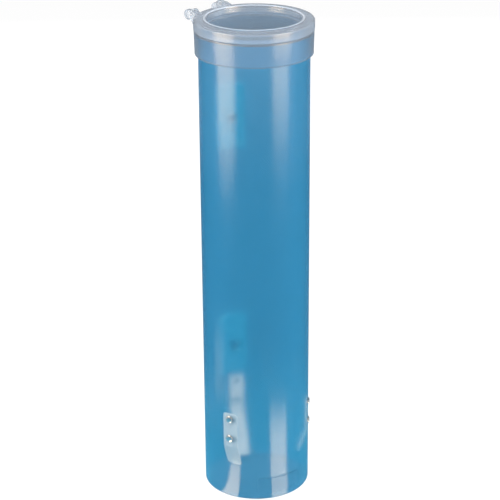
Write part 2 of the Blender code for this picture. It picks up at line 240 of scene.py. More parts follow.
def prism(outline, to_space, depth):
    """A flat outline, set in space by to_space and drawn out by the vector depth."""
    bm = bmesh.new()
    face = bm.faces.new([bm.verts.new(to_space(p)) for p in outline])
    raised = bmesh.ops.extrude_face_region(bm, geom=[face])
    bmesh.ops.translate(bm, verts=[v for v in raised["geom"] if isinstance(v, bmesh.types.BMVert)], vec=depth)
    return bm


def rod(radius, start, end, axis):
    """A plain cylinder along an axis, used to cut and to join."""
    bm = bmesh.new()
    middle = {"X": Vector(((start + end) / 2, 0, 0)), "Y": Vector((0, (start + end) / 2, 0))}[axis]
    turn = Matrix.Rotation(math.pi / 2, 4, "Y" if axis == "X" else "X")
    bmesh.ops.create_cone(
        bm, cap_ends=True, segments=ROD_STEPS, radius1=radius, radius2=radius, depth=abs(end - start),
        matrix=Matrix.Translation(middle) @ turn,
    )
    return bm


def combine(target, tool, operation):
    """Join or cut at once, and drop the tool."""
    step = target.modifiers.new("step", "BOOLEAN")
    step.operation = operation
    step.object = tool
    step.solver = "EXACT"
    graph = bpy.context.evaluated_depsgraph_get()
    mesh = bpy.data.meshes.new_from_object(target.evaluated_get(graph))
    target.modifiers.clear()
    old = target.data
    target.data = mesh
    bpy.data.meshes.remove(old)
    bpy.data.objects.remove(tool)
    target.data.shade_smooth()
    target.data.set_sharp_from_angle(angle=math.radians(SHARP_ANGLE))


def turned(degrees):
    """The frame of something turned about the tube's axis."""
    return Matrix.Translation((0, AXIS_Y, 0)) @ Matrix.Rotation(math.radians(degrees), 4, "Z")


def drill(piece, azimuth, height, cut):
    """A round hole through a piece, towards the tube's axis."""
    place = turned(azimuth) @ Matrix.Translation((0, 0, height))
    combine(piece, put("cut", rod(HOLE_RADIUS, *cut, "X"), place), "DIFFERENCE")


def rounded_places(half, corner, middle_steps):
    """Places across a sheet from -half to half, closer together over its rounded corners."""
    left = [-half + corner * (1 - math.cos(math.pi / 2 * k / CORNER_STEPS)) for k in range(CORNER_STEPS + 1)]
    width = 2 * half - 2 * corner
    middle = [-half + corner + width * k / middle_steps for k in range(1, middle_steps)]
    return left + middle + [-p for p in reversed(left)]


def corner_inset(place, half, corner):
    """How far a sheet's end draws in at a place across it, because of its rounded corners."""
    past = max(0.0, abs(place) - (half - corner))
    return corner - math.sqrt(max(0.0, corner ** 2 - past ** 2))


# Node helpers
def nodes_of(name):
    """A new material with its tree, shader and output."""
    made = bpy.data.materials.new(name)
    made.use_nodes = True
    tree = made.node_tree
    return made, tree, tree.nodes["Principled BSDF"], tree.nodes["Material Output"]


def set_to(shader, **values):
    for key, value in values.items():
        shader.inputs[key.replace("_", " ")].default_value = value


def math_node(tree, operation, one, other):
    """A maths node. The second input is a number or a node's output."""
    made = tree.nodes.new("ShaderNodeMath")
    made.operation = operation
    tree.links.new(one, made.inputs[0])
    if isinstance(other, (int, float)):
        made.inputs[1].default_value = other
    else:
        tree.links.new(other, made.inputs[1])
    return made.outputs[0]


def shader_mix(tree, share, one, other):
    """Two shaders mixed. The share of the second is a number or a node's output."""
    made = tree.nodes.new("ShaderNodeMixShader")
    if isinstance(share, float):
        made.inputs["Fac"].default_value = share
    else:
        tree.links.new(share, made.inputs["Fac"])
    tree.links.new(one, made.inputs[1])
    tree.links.new(other, made.inputs[2])
    return made.outputs["Shader"]


def noise(tree, scale, detail=2.0, stretch=(1, 1, 1)):
    place = tree.nodes.new("ShaderNodeTexCoord")
    mapping = tree.nodes.new("ShaderNodeMapping")
    mapping.inputs["Scale"].default_value = stretch
    made = tree.nodes.new("ShaderNodeTexNoise")
    made.inputs["Scale"].default_value = scale
    made.inputs["Detail"].default_value = detail
    tree.links.new(place.outputs["Object"], mapping.inputs["Vector"])
    tree.links.new(mapping.outputs["Vector"], made.inputs["Vector"])
    return made.outputs["Fac"]


def spread(tree, value, low, high):
    """The middle of a noise's range, spread over low to high."""
    made = tree.nodes.new("ShaderNodeMapRange")
    made.inputs["From Min"].default_value = 0.3
    made.inputs["From Max"].default_value = 0.7
    made.inputs["To Min"].default_value = low
    made.inputs["To Max"].default_value = high
    tree.links.new(value, made.inputs["Value"])
    return made.outputs["Result"]


def smooth_step(tree, value, start, end):
    """0 at start and 1 at end, eased at both."""
    made = tree.nodes.new("ShaderNodeMapRange")
    made.interpolation_type = "SMOOTHSTEP"
    made.inputs["From Min"].default_value = start
    made.inputs["From Max"].default_value = end
    tree.links.new(value, made.inputs["Value"])
    return made.outputs["Result"]


def tint(tree, value, one, other):
    """A colour between two."""
    made = tree.nodes.new("ShaderNodeMix")
    made.data_type = "RGBA"
    made.inputs[6].default_value = (*one, 1)
    made.inputs[7].default_value = (*other, 1)
    tree.links.new(value, made.inputs[0])
    return made.outputs[2]


def ramp(tree, value, stops):
    """A colour that runs through the stops (value, colour)."""
    reach = stops[-1][0]
    made = tree.nodes.new("ShaderNodeValToRGB")
    ends = made.color_ramp.elements
    for end, (place, colour) in zip(ends, (stops[0], stops[-1])):
        end.position = place / reach
        end.color = (*colour, 1)
    for place, colour in stops[1:-1]:
        ends.new(place / reach).color = (*colour, 1)
    tree.links.new(math_node(tree, "DIVIDE", value, reach), made.inputs["Fac"])
    return made.outputs["Color"]


def levels(tree, value, stops):
    """A number that runs through the stops (value, number)."""
    return ramp(tree, value, [(place, (level,) * 3) for place, level in stops])


def colour(tree, shader, cloud, one, other):
    """A shader's base colour, wandering between two with a noise."""
    tree.links.new(tint(tree, spread(tree, cloud, 0, 1), one, other), shader.inputs["Base Color"])


def roughness(tree, cloud, low, high, *shaders):
    """The roughness of one or more shaders, wandering between two values with a noise."""
    rough = spread(tree, cloud, low, high)
    for shader in shaders:
        tree.links.new(rough, shader.inputs["Roughness"])


def bump(tree, shader, value, strength, distance):
    made = tree.nodes.new("ShaderNodeBump")
    made.inputs["Strength"].default_value = strength
    made.inputs["Distance"].default_value = distance
    tree.links.new(value, made.inputs["Height"])
    tree.links.new(made.outputs["Normal"], shader.inputs["Normal"])


def lets_lamps_through(tree, surface, out, shade):
    """Shadow rays pass with a tint, so that lamps reach what is behind the plastic."""
    path = tree.nodes.new("ShaderNodeLightPath")
    clear = tree.nodes.new("ShaderNodeBsdfTransparent")
    clear.inputs["Color"].default_value = (*shade, 1)
    mixed = shader_mix(tree, path.outputs["Is Shadow Ray"], surface, clear.outputs["BSDF"])
    tree.links.new(mixed, out.inputs["Surface"])


def with_pigment(tree, clear, share):
    """Mix a scattering shader over the clear one."""
    pigment = tree.nodes.new("ShaderNodeBsdfPrincipled")
    return pigment, shader_mix(tree, share, clear.outputs["BSDF"], pigment.outputs["BSDF"])


# Materials
PIGMENT_SHARE = 0.28                 # of the tube's plastic, at each of its surfaces

# How white the cap's plastic is, by distance from the tube's axis: the lid's sunken middle, the flat ring
# round its bead, its rounded shoulder, and the thick pieces of the hinge outside them.
LID_WHITENESS = (
    (0, 0.03), (39.9 * MM, 0.03), (40.3 * MM, 0.145), (46.0 * MM, 0.145),
    (46.6 * MM, 0.045), (47.5 * MM, 0.045), (47.7 * MM, 0.08), (51.0 * MM, 0.15),
)
COLLAR_WHITENESS = (
    (0, 0.045), (46.0 * MM, 0.045), (46.5 * MM, 0.03), (47.5 * MM, 0.03),
    (47.7 * MM, 0.08), (51.0 * MM, 0.15),
)
# The bead is whiter again, above the flat ring that it stands on, in a painted highlight that grows towards
# its crest.
BEAD_PAINTED_HIGHLIGHT = ((0, 0), (38.0 * MM, 0), (38.3 * MM, 0.55), (40.0 * MM, 0.55), (40.4 * MM, 0))
BEAD_FOOT = LID_TOP + 0.05 * MM
BEAD_CREST = LID_TOP + 0.4 * MM
# The plastic that light passes is a little blue, and a little warm in the thick pieces of the hinge.
CAP_TINT = ((47.5 * MM, (0.855, 0.905, 0.95)), (48.5 * MM, (0.95, 0.905, 0.85)))


def blue_plastic():
    made, tree, clear, out = nodes_of("tube plastic")
    set_to(clear, IOR=1.42, Transmission_Weight=1.0, Specular_IOR_Level=1.0)
    pigment, surface = with_pigment(tree, clear, PIGMENT_SHARE)
    set_to(pigment, IOR=1.42, Specular_IOR_Level=1.0)
    streaks = noise(tree, 9, 2, stretch=(1, 1, 0.06))
    colour(tree, clear, streaks, (0.90, 0.95, 0.97), (0.94, 0.98, 0.99))
    colour(tree, pigment, streaks, (0.003, 0.172, 0.325), (0.006, 0.185, 0.342))
    roughness(tree, noise(tree, 60, 3), 0.17, 0.21, clear, pigment)
    for shader in (clear, pigment):
        bump(tree, shader, noise(tree, 30, 2, stretch=(1, 1, 0.1)), 0.05, 0.0002)
    lets_lamps_through(tree, surface, out, (0.98, 0.98, 0.98))
    return made


def from_axis(tree, place):
    """Distance from the tube's axis."""
    flat = tree.nodes.new("ShaderNodeVectorMath")
    flat.operation = "MULTIPLY_ADD"
    flat.inputs[1].default_value = (1, 1, 0)
    flat.inputs[2].default_value = (0, -AXIS_Y, 0)
    tree.links.new(place, flat.inputs[0])
    reach = tree.nodes.new("ShaderNodeVectorMath")
    reach.operation = "LENGTH"
    tree.links.new(flat.outputs["Vector"], reach.inputs[0])
    return reach.outputs["Value"]


def frosted_plastic(name, whiteness, smooth, dull):
    """The cap's plastic: clear, with a pigment whose share grows where the moulding is thick or rounded, and
    on the bead's crest as a painted highlight.
    """
    made, tree, clear, out = nodes_of(name)
    set_to(clear, IOR=1.5, Transmission_Weight=1.0, Specular_IOR_Level=1.0)
    place = tree.nodes.new("ShaderNodeTexCoord").outputs["Object"]
    reach = from_axis(tree, place)
    height = tree.nodes.new("ShaderNodeSeparateXYZ")
    tree.links.new(place, height.inputs[0])
    # painted highlight: the bead whiter towards its crest
    bead = tree.nodes.new("ShaderNodeMapRange")
    bead.inputs["From Min"].default_value = BEAD_FOOT
    bead.inputs["From Max"].default_value = BEAD_CREST
    tree.links.new(levels(tree, reach, BEAD_PAINTED_HIGHLIGHT), bead.inputs["To Max"])
    tree.links.new(height.outputs["Z"], bead.inputs["Value"])
    share = math_node(tree, "MAXIMUM", levels(tree, reach, whiteness), bead.outputs["Result"])
    pigment, surface = with_pigment(tree, clear, share)
    set_to(pigment, IOR=1.5, Specular_IOR_Level=1.0)
    tree.links.new(ramp(tree, reach, CAP_TINT), clear.inputs["Base Color"])
    colour(tree, pigment, noise(tree, 45, 3), (0.76, 0.84, 0.95), (0.81, 0.88, 0.98))
    roughness(tree, noise(tree, 120, 3), smooth, dull, clear, pigment)
    for shader in (clear, pigment):
        bump(tree, shader, noise(tree, 900, 4), 0.12, 0.0001)
    lets_lamps_through(tree, surface, out, (0.97, 0.97, 0.97))
    return made


def milky_plastic():
    made, tree, shader, _ = nodes_of("finger plastic")
    set_to(shader, IOR=1.5, Transmission_Weight=0.12)
    colour(tree, shader, noise(tree, 70, 3), (0.94, 0.86, 0.75), (0.97, 0.90, 0.80))
    roughness(tree, noise(tree, 200, 2), 0.34, 0.42, shader)
    bump(tree, shader, noise(tree, 700, 3), 0.1, 0.0001)
    return made


def saddle_plastic():
    made, tree, shader, _ = nodes_of("saddle plastic")
    set_to(shader, IOR=1.5, Transmission_Weight=0.0)
    colour(tree, shader, noise(tree, 50, 3), (0.10, 0.42, 0.53), (0.13, 0.46, 0.56))
    roughness(tree, noise(tree, 160, 2), 0.42, 0.52, shader)
    bump(tree, shader, noise(tree, 800, 3), 0.2, 0.0001)
    return made


def metal(name, bright, low, high):
    made, tree, shader, _ = nodes_of(name)
    set_to(shader, Metallic=1.0)
    colour(tree, shader, noise(tree, 400, 3), [c * 0.94 for c in bright], bright)
    roughness(tree, noise(tree, 900, 3), low, high, shader)
    bump(tree, shader, noise(tree, 1200, 2), 0.08, 0.00005)
    return made


def clear_film():
    made, tree, shader, out = nodes_of("clear sticker")
    set_to(shader, IOR=1.42, Transmission_Weight=1.0)
    colour(tree, shader, noise(tree, 90, 3), (0.93, 0.97, 0.99), (0.97, 0.99, 1.0))
    roughness(tree, noise(tree, 250, 2), 0.05, 0.09, shader)
    bump(tree, shader, noise(tree, 220, 3), 0.15, 0.00008)
    lets_lamps_through(tree, shader.outputs["BSDF"], out, (0.97, 0.98, 0.99))
    return made


BLUE = blue_plastic()
LID_PLASTIC = frosted_plastic("lid plastic", LID_WHITENESS, 0.18, 0.24)
COLLAR_PLASTIC = frosted_plastic("collar plastic", COLLAR_WHITENESS, 0.20, 0.25)
MILKY = milky_plastic()
MOULDED = saddle_plastic()
RIVET = metal("rivet metal", (0.86, 0.85, 0.84), 0.16, 0.26)
SCREW = metal("screw metal", (0.66, 0.66, 0.65), 0.3, 0.42)
FILM = clear_film()


def dress(piece, surface, slot, body, *nodes):
    """Give a piece its material, the nodes that it stands for and the body that it rides on."""
    piece.data.materials.clear()
    piece.data.materials.append(surface)
    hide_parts(*nodes)
    if body:
        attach(piece, body)
    return piece


# Tube
tube = put("tube_shell", lathe(arcs([
    (TUBE_RADIUS, TUBE_LENGTH, TUBE_EDGE),
    (TUBE_RADIUS, 0, TUBE_EDGE),
    (TUBE_BORE, 0, TUBE_EDGE),
    (TUBE_BORE, TUBE_LENGTH, TUBE_EDGE),
]), TUBE_STEPS), turned(0))
for azimuth, _ in FINGERS.values():
    for height in RIVET_HEIGHTS.values():
        drill(tube, azimuth, height, TUBE_CUT)
for height in SADDLE_HEIGHTS.values():
    drill(tube, 90, height, TUBE_CUT)
dress(tube, BLUE, "tube plastic", "housing", "tube")


# Fingers
def fold_offset(s):
    """Height above the fold and inward shift at the distance s along a strip, with the bend eased."""
    if s >= FOLD_SOFTNESS:
        return s, 0.0
    if s <= -FOLD_SOFTNESS:
        return s * math.cos(STRIP_LEAN), -s * math.sin(STRIP_LEAN)
    part = (FOLD_SOFTNESS - s) / (2 * FOLD_SOFTNESS)
    drop = s * math.cos(STRIP_LEAN * part * part) if s < 0 else s
    return drop, max(0.0, (FOLD_SOFTNESS - s) * math.sin(STRIP_LEAN) * part * 0.5)


def strip(name, azimuth, length):
    """One strip, flat on the wall above the fold and leaning inward below it, with a softly rounded fold."""
    half = STRIP_WIDTH / 2
    tip, top, soft = -length, ROOT_HEIGHT, FOLD_SOFTNESS
    rows = (
        [tip] + [tip + (-soft - tip) * k / FLAT_ROWS for k in range(1, FLAT_ROWS)]
        + [-soft + 2 * soft * k / FOLD_ROWS for k in range(FOLD_ROWS + 1)]
        + [soft + (top - soft) * k / FLAT_ROWS for k in range(1, FLAT_ROWS)] + [top]
    )
    bm = bmesh.new()
    grid = []
    for place in rounded_places(half, STRIP_CORNER, STRIP_STEPS):
        angle = place / STRIP_RADIUS
        inset = corner_inset(place, half, STRIP_CORNER)
        column = []
        for s in rows:
            drop, inward = fold_offset(min(max(s, tip + inset), top - inset))
            height = FOLD_HEIGHT + drop
            column.append([
                bm.verts.new((radius * math.cos(angle) - inward, radius * math.sin(angle), height))
                for radius in (STRIP_RADIUS, STRIP_RADIUS - STRIP_THICKNESS)
            ])
        grid.append(column)
    for one, other in zip(grid, grid[1:]):
        for k in range(len(rows) - 1):
            bm.faces.new((one[k][0], other[k][0], other[k + 1][0], one[k + 1][0]))
            bm.faces.new((one[k][1], one[k + 1][1], other[k + 1][1], other[k][1]))
        bm.faces.new((one[0][0], one[0][1], other[0][1], other[0][0]))
        bm.faces.new((one[-1][0], other[-1][0], other[-1][1], one[-1][1]))
    for column in (grid[0], grid[-1]):
        for k in range(len(rows) - 1):
            bm.faces.new((column[k][0], column[k + 1][0], column[k + 1][1], column[k][1]))
    bmesh.ops.dissolve_degenerate(bm, dist=1e-6, edges=bm.edges)
    return put(name, bm, turned(azimuth), angle=SHEET_SHARP_ANGLE)


def rivet(name, azimuth, height):
    """A domed head outside, a shank through the wall and a rolled tail inside, hollow at its end."""
    seat = TUBE_RADIUS + GAP
    inside = STRIP_RADIUS - STRIP_THICKNESS
    end = math.sqrt(inside ** 2 - RIVET_TAIL ** 2) - GAP - seat
    tail_end = end - RIVET_TAIL_RISE
    hollow = end - RIVET_FLOOR_DEPTH
    dome = []
    for k in range(DOME_STEPS + 1):
        lift = math.pi / 2 * k / DOME_STEPS
        rise = RIVET_HEAD_EDGE + (RIVET_HEAD_RISE - RIVET_HEAD_EDGE) * math.cos(lift)
        dome.append((RIVET_HEAD * math.sin(lift), rise))
    under = [(RIVET_HEAD, RIVET_BREAK), (RIVET_HEAD - RIVET_BREAK, 0), (SHANK_RADIUS, 0)]
    tail = arcs([
        (SHANK_RADIUS, end, 0), (RIVET_TAIL, end, RIVET_TAIL_EDGE), (RIVET_TAIL, tail_end, RIVET_TAIL_ROLL),
        (RIVET_MOUTH, tail_end, RIVET_MOUTH_FILLET), (RIVET_FLOOR, hollow, RIVET_FLOOR_FILLET),
        (0, hollow, 0),
    ], math.radians(15))
    place = turned(azimuth) @ Matrix.Translation((seat, 0, height)) @ Matrix.Rotation(math.pi / 2, 4, "Y")
    return put(name, lathe(dome + under + tail, RIVET_STEPS, closed=False), place)


for side, (azimuth, length) in FINGERS.items():
    piece = strip(f"{side}_finger_strip", azimuth, length)
    for level, height in RIVET_HEIGHTS.items():
        drill(piece, azimuth, height, STRIP_CUT)
        dress(rivet(f"{side}_rivet_{level}", azimuth, height), RIVET, "rivet metal", "housing",
              f"{side}_finger_rivet_{level}")
    dress(piece, MILKY, "finger plastic", None, f"{side}_finger_root", f"{side}_finger_blade")
    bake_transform(piece)

# Cap collar
cap_place = turned(90 + CAP_TURN)
hinge = cap_place @ Matrix.Translation((HINGE_REACH, 0, HINGE_HEIGHT))
collar = put("cap_collar_moulding", lathe(arcs([
    (THROAT_RADIUS + RIM_WIDTH, COLLAR_TOP, COLLAR_RIM_FILLET),
    (COLLAR_RADIUS_TOP, COLLAR_TOP, COLLAR_EDGE),
    (COLLAR_RADIUS_FOOT, COLLAR_FOOT, COLLAR_EDGE),
    (COLLAR_BORE + COLLAR_LEAD_IN, COLLAR_FOOT, COLLAR_LEAD_IN_EDGE),
    (COLLAR_BORE, COLLAR_FOOT + COLLAR_LEAD_IN, COLLAR_LEAD_IN_EDGE),
    (COLLAR_BORE, LEDGE_UNDER, LEDGE_FILLET),
    (THROAT_RADIUS, LEDGE_UNDER, COLLAR_EDGE),
    (THROAT_RADIUS, COLLAR_TOP + RIM_HEIGHT, COLLAR_EDGE),
    (THROAT_RADIUS + RIM_WIDTH, COLLAR_TOP + RIM_HEIGHT, COLLAR_EDGE),
]), CAP_STEPS), cap_place)
ear_base = math.sqrt(COLLAR_RADIUS_FOOT ** 2 - (EAR_INSET + EAR_WIDTH) ** 2) - EAR_SUNK
crown = []
for k in range(HALF_TURN_STEPS + 1):
    angle = math.pi * k / HALF_TURN_STEPS
    reach = HINGE_REACH - EAR_RADIUS * math.cos(angle)
    crown.append(Vector((reach, HINGE_HEIGHT + EAR_RADIUS * math.sin(angle))))
ear_outline = [
    Vector((ear_base, EAR_ROOT_FOOT)), Vector((ear_base, EAR_ROOT_TOP)),
    Vector((HINGE_REACH - EAR_RADIUS, EAR_ROOT_TOP)), *crown,
    Vector((HINGE_REACH + EAR_RADIUS, HINGE_HEIGHT - EAR_SHOULDER)),
]
for side in (-1, 1):
    ear = prism(ear_outline, lambda p: (p.x, side * EAR_INSET, p.y), (0, side * EAR_WIDTH, 0))
    combine(collar, put("ear", ear, cap_place), "UNION")
    stub_root = side * (EAR_INSET + EAR_WIDTH / 2)
    stub_end = side * (EAR_INSET + EAR_WIDTH + STUB_LENGTH)
    combine(collar, put("stub", rod(STUB_RADIUS, stub_root, stub_end, "Y"), hinge), "UNION")
dress(collar, COLLAR_PLASTIC, "cap plastic", "housing", "cap_collar")

# Flip lid
bead_inside = BEAD_RADIUS - BEAD_WIDTH / 2
bead_outside = BEAD_RADIUS + BEAD_WIDTH / 2
pan_floor = LID_TOP - PAN_DEPTH
lid = put("flip_lid_moulding", lathe(arcs([
    (0, pan_floor, 0),
    (bead_inside - PAN_DRAFT, pan_floor, PAN_FILLET),
    (bead_inside, LID_TOP + BEAD_HEIGHT, BEAD_FILLET),
    (bead_outside, LID_TOP + BEAD_HEIGHT, BEAD_FILLET),
    (bead_outside + BEAD_HEIGHT / 2, LID_TOP, BEAD_HEIGHT / 2),
    (LID_RADIUS, LID_TOP, LID_SHOULDER),
    (LID_RADIUS, LID_FOOT, LID_SKIRT_EDGE),
    (LID_RADIUS - LID_WALL, LID_FOOT, LID_SKIRT_EDGE),
    (LID_RADIUS - LID_WALL, LID_TOP - LID_WALL, LID_INNER_FILLET),
    (bead_outside, LID_TOP - LID_WALL, LID_INNER_FILLET),
    (bead_outside - PAN_DRAFT, pan_floor - LID_WALL, PAN_FILLET),
    (0, pan_floor - LID_WALL, 0),
]), CAP_STEPS, closed=False), cap_place)
# The arm's outline is about the hinge's axis: its tip on the lid's rim, flat top, round end and root.
arm_root = math.sqrt(LID_RADIUS ** 2 - (ARM_INSET + ARM_WIDTH) ** 2) - LID_WALL / 2 - HINGE_REACH
arm_outline = arcs([(-ARM_LAP, ARM_TIP, 0), (-ARM_FLAT, ARM_RADIUS, ARM_FLAT_FILLET), (0, ARM_RADIUS, 0)])
for k in range(1, HALF_TURN_STEPS + 1):
    angle = math.pi * k / HALF_TURN_STEPS
    arm_outline.append(Vector((ARM_RADIUS * math.sin(angle), ARM_RADIUS * math.cos(angle))))
arm_outline += [Vector((arm_root, -ARM_RADIUS)), Vector((arm_root, ARM_TIP))]
for side in (-1, 1):
    near = side * ARM_INSET
    arm = prism(arm_outline, lambda p: (p.x, near, p.y), (0, side * (ARM_WIDTH - ARM_BEHIND_EYE), 0))
    combine(lid, put("arm", arm, hinge), "UNION")
    eye = lathe(arcs([
        (0, EYE_WIDTH, 0), (EYE_RADIUS, EYE_WIDTH, EYE_CROWN), (EYE_RADIUS, 0, EYE_EDGE), (0, 0, 0),
    ]), SMALL_STEPS, closed=False)
    outward = Matrix.Rotation(-side * math.pi / 2, 4, "X")
    eye_place = hinge @ Matrix.Translation((0, near + side * (ARM_WIDTH - EYE_WIDTH), 0)) @ outward
    combine(lid, put("eye", eye, eye_place), "UNION")
    bore = rod(STUB_RADIUS + GAP, side * (ARM_INSET - MM), side * (ARM_INSET + STUB_LENGTH), "Y")
    combine(lid, put("bore", bore, hinge), "DIFFERENCE")
dress(lid, LID_PLASTIC, "cap plastic", "lid", "flip_lid")

# Screws and saddles
screw_seat = math.sqrt(TUBE_BORE ** 2 - SCREW_HEAD ** 2) - GAP
screw_end = screw_seat - (TUBE_RADIUS + GAP + SCREW_BITE)
for level, height in SADDLE_HEIGHTS.items():
    inward = Matrix.Rotation(-math.pi / 2, 4, "Y")
    screw = put(f"{level}_cross_screw", lathe(arcs([
        (0, SCREW_HEAD_RISE, 0), (SCREW_HEAD, SCREW_HEAD_RISE, SCREW_CROWN), (SCREW_HEAD, 0, SCREW_EDGE),
        (SHANK_RADIUS, 0, SCREW_EDGE), (SHANK_RADIUS, SCREW_POINT + screw_end, 0), (0, screw_end, 0),
    ]), SMALL_STEPS, closed=False), turned(90) @ Matrix.Translation((screw_seat, 0, height)) @ inward)
    cross_place = turned(90) @ Matrix.Translation((screw_seat - SCREW_HEAD_RISE, 0, height)) @ inward
    for quarter in (0, 90):
        slot = bmesh.new()
        bmesh.ops.create_cube(slot, size=1, matrix=Matrix.Diagonal((*CROSS, 1)))
        slot_place = cross_place @ Matrix.Rotation(math.radians(quarter), 4, "Z")
        combine(screw, put("cut", slot, slot_place), "DIFFERENCE")
    dress(screw, SCREW, "screw metal", "housing", f"{level}_saddle_screw")
    saddle = NODES[f"{level}_wall_saddle"]
    saddle.data.materials.clear()
    saddle.data.materials.append(MOULDED)


# Label
def curved_sheet(name, azimuth):
    """The label, bent round the tube, with rounded corners."""
    half = LABEL_WIDTH / 2
    bm = bmesh.new()
    columns = []
    for place in rounded_places(half, LABEL_CORNER, LABEL_STEPS):
        inset = corner_inset(place, half, LABEL_CORNER)
        angle = place / LABEL_RADIUS
        low, high = LABEL_FOOT + inset, LABEL_FOOT + LABEL_HEIGHT - inset
        under = LABEL_RADIUS - LABEL_THICKNESS
        columns.append([
            bm.verts.new((r * math.cos(angle), r * math.sin(angle), z))
            for r, z in ((LABEL_RADIUS, low), (LABEL_RADIUS, high), (under, high), (under, low))
        ])
    for one, other in zip(columns, columns[1:]):
        for k in range(4):
            bm.faces.new((one[k], other[k], other[(k + 1) % 4], one[(k + 1) % 4]))
    bm.faces.new(columns[0])
    bm.faces.new(reversed(columns[-1]))
    return put(name, bm, turned(azimuth), angle=SHEET_SHARP_ANGLE)


dress(curved_sheet("label_film", -90), FILM, "clear sticker", "housing", "front_label")

# Camera, at the photograph's place
PHOTO_WIDTH = 500
SENSOR_WIDTH = 36
FOCAL = 1680.4449                    # in pixels of the photograph
PITCH = math.radians(22.4057)        # how far the camera looks down
ROLL = math.radians(-0.43)
ACROSS, BEFORE, ABOVE = -0.1011, -28.8879, 16.646   # the camera's place, in radii of the tube
PHOTO_TURN = math.radians(-26)       # from the photograph's frame to this one

ahead = Vector((0, math.cos(PITCH), -math.sin(PITCH)))
level_up = Vector((0, math.sin(PITCH), math.cos(PITCH)))
level_side = Vector((1, 0, 0))
camera_side = math.cos(ROLL) * level_side + math.sin(ROLL) * level_up
camera_up = math.cos(ROLL) * level_up - math.sin(ROLL) * level_side
lens = bpy.data.cameras.new("camera")
lens.sensor_width = SENSOR_WIDTH
lens.lens = FOCAL / PHOTO_WIDTH * SENSOR_WIDTH
lens.clip_start = 0.05
lens.clip_end = 60
camera = bpy.data.objects.new("camera", lens)
bpy.context.scene.collection.objects.link(camera)
camera.matrix_world = (
    Matrix.Translation((0, AXIS_Y, 0)) @ Matrix.Rotation(PHOTO_TURN, 4, "Z")
    @ Matrix.Translation(Vector((ACROSS, BEFORE, ABOVE)) * TUBE_RADIUS)
    @ Matrix((camera_side, camera_up, -ahead)).transposed().to_4x4()
)
bpy.context.scene.camera = camera

# Floor and world
SEEN_IN_GLOSS = 0.05                 # how white the background is for glossy rays
FLOOR_THROUGH = 0.02                 # and for rays through the plastic, which see the floor's painted light and shade instead
WORLD_THROUGH = 0.1
FLOOR_DEPTH = 0.3 * MM               # below the tube's foot
FLOOR_SIZE = 12
WORLD_FILL = 0.15
FLOOR_SHADED = (0.14, 0.14, 0.14)    # the part of the white that takes the object's shadow
FLOOR_SHINE = 0.9                    # and the part that shines by itself
FLOOR_BLEND = 1.5 * MM               # under the tube's wall, from the painted light and shade to white

# The floor's painted light and shade by distance from the tube's axis, which is how the plastic shows it:
# painted blue light where the light has come through the tube, painted shade deepening out to 800 mm, and
# paler far behind.
FLOOR_PAINTED_LIGHT = (
    (0, (0.09, 0.20, 0.29)), (44.3 * MM, (0.09, 0.20, 0.29)), (44.5 * MM, (0.05, 0.26, 0.38)),
    (100 * MM, (0.04, 0.24, 0.35)), (280 * MM, (0.04, 0.12, 0.19)), (800 * MM, (0.04, 0.09, 0.14)),
    (1100 * MM, (0.20, 0.26, 0.33)),
)


def seen_share(tree, seen_through):
    """How white the background is: 1 to the camera, less in gloss and through plastic, and 0 otherwise."""
    path = tree.nodes.new("ShaderNodeLightPath")
    share = path.outputs["Is Camera Ray"]
    for kind, part in (("Is Glossy Ray", SEEN_IN_GLOSS), ("Is Transmission Ray", seen_through)):
        share = math_node(tree, "MAXIMUM", share, math_node(tree, "MULTIPLY", path.outputs[kind], part))
    return share


def white_floor():
    """White outside the tube, with the object's shadow, and painted light and shade inside it and for the
    rays that light.
    """
    made, tree, shader, out = nodes_of("white floor")
    tree.nodes.remove(shader)
    # painted light and shade on the floor, by distance from the tube's axis
    plain = tree.nodes.new("ShaderNodeBsdfDiffuse")
    shaded = tree.nodes.new("ShaderNodeBsdfDiffuse")
    shaded.inputs["Color"].default_value = (*FLOOR_SHADED, 1)
    shine = tree.nodes.new("ShaderNodeEmission")
    shine.inputs["Color"].default_value = (1, 1, 1, 1)
    shine.inputs["Strength"].default_value = FLOOR_SHINE
    both = tree.nodes.new("ShaderNodeAddShader")
    tree.links.new(shaded.outputs[0], both.inputs[0])
    tree.links.new(shine.outputs[0], both.inputs[1])
    place = tree.nodes.new("ShaderNodeTexCoord")
    apart = tree.nodes.new("ShaderNodeVectorMath")
    apart.operation = "DISTANCE"
    apart.inputs[1].default_value = (0, AXIS_Y, 0)
    tree.links.new(place.outputs["Object"], apart.inputs[0])
    distance = apart.outputs["Value"]
    tree.links.new(ramp(tree, distance, FLOOR_PAINTED_LIGHT), plain.inputs["Color"])
    outside = smooth_step(tree, distance, TUBE_RADIUS - FLOOR_BLEND, TUBE_RADIUS)
    share = math_node(tree, "MULTIPLY", outside, seen_share(tree, FLOOR_THROUGH))
    mixed = shader_mix(tree, share, plain.outputs[0], both.outputs[0])
    tree.links.new(mixed, out.inputs["Surface"])
    return made


bm = bmesh.new()
bmesh.ops.create_grid(bm, x_segments=1, y_segments=1, size=FLOOR_SIZE)
floor = put("floor", bm, Matrix.Translation((0, 0, -FLOOR_DEPTH)))
floor.data.materials.append(white_floor())

world = bpy.data.worlds.new("studio")
bpy.context.scene.world = world
world.use_nodes = True
tree = world.node_tree
fill = tree.nodes["Background"]
seen = tree.nodes.new("ShaderNodeBackground")
for background, strength in ((fill, WORLD_FILL), (seen, 1.0)):
    background.inputs["Color"].default_value = (1, 1, 1, 1)
    background.inputs["Strength"].default_value = strength
mixed = shader_mix(tree, seen_share(tree, WORLD_THROUGH), fill.outputs[0], seen.outputs[0])
tree.links.new(mixed, tree.nodes["World Output"].inputs["Surface"])


# Lamps
LOOK_HEIGHT = 0.2                    # the middle of the tube, in metres


def photo_point(azimuth, radius, height):
    """A point given by its direction from the tube in the photograph's frame, where the camera is at -90."""
    angle = math.radians(azimuth) + PHOTO_TURN
    return Vector((radius * math.cos(angle), radius * math.sin(angle) + AXIS_Y, height))


